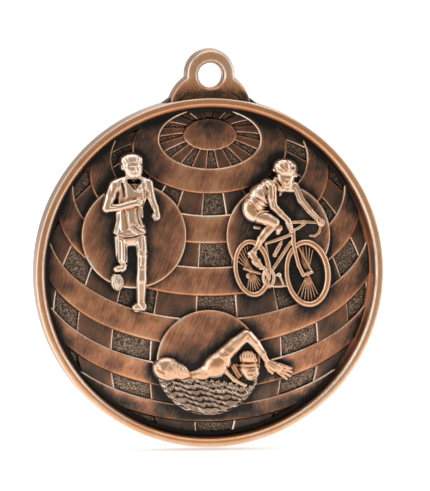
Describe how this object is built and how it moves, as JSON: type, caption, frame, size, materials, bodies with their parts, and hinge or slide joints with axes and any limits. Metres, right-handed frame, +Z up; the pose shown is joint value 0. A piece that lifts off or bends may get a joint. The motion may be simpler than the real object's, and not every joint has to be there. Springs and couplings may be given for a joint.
{
  "type": "sports finisher medal",
  "caption": "Round cast medal with a raised rim, hanging lug, globe grid field and three discs with a runner, a cyclist and a swimmer in relief.",
  "frame": {"origin": "centre of the hole in the hanging lug, half way through the lug", "axes": "+Z up, from the medal to the lug; the face looks along -Y and the back along +Y; +X is to the right of someone who looks at the face"},
  "size_m": [0.05, 0.0054, 0.0568],
  "materials": {
    "rim_copper": "bright antique copper plate, satin, lightly drag-polished",
    "lug_copper": "antique copper plate, bright at the eye and dark where it meets the rim",
    "ground_copper": "sandblasted grain under dark patina",
    "band_copper": "brushed antique copper with dark patina and bright edges",
    "block_copper": "smooth antique copper under patina",
    "disc_copper": "brushed antique copper with a bright rounded edge",
    "figure_copper": "relief-polished antique copper with dark hollows"
  },
  "bodies": {
    "medal": {"medal_blank": "ground_copper", "rim_ring": "rim_copper", "hanger_lug": "lug_copper", "polar_cap": "band_copper", "polar_rays": "block_copper", "band_1": "band_copper", "band_2": "band_copper", "band_3": "band_copper", "band_4": "band_copper", "band_5": "band_copper", "band_6": "band_copper", "block_row_1": "block_copper", "block_row_2": "block_copper", "block_row_3": "block_copper", "block_row_4": "block_copper", "block_row_5": "block_copper", "block_row_6": "block_copper", "runner_disc": "disc_copper", "cyclist_disc": "disc_copper", "swimmer_disc": "disc_copper", "runner": "figure_copper", "cyclist": "figure_copper", "bicycle_frame": "figure_copper", "bicycle_front_wheel": "figure_copper", "bicycle_rear_wheel": "figure_copper", "bicycle_crankset": "figure_copper", "swimmer": "figure_copper", "water": "figure_copper"}
  },
  "joints": []
}
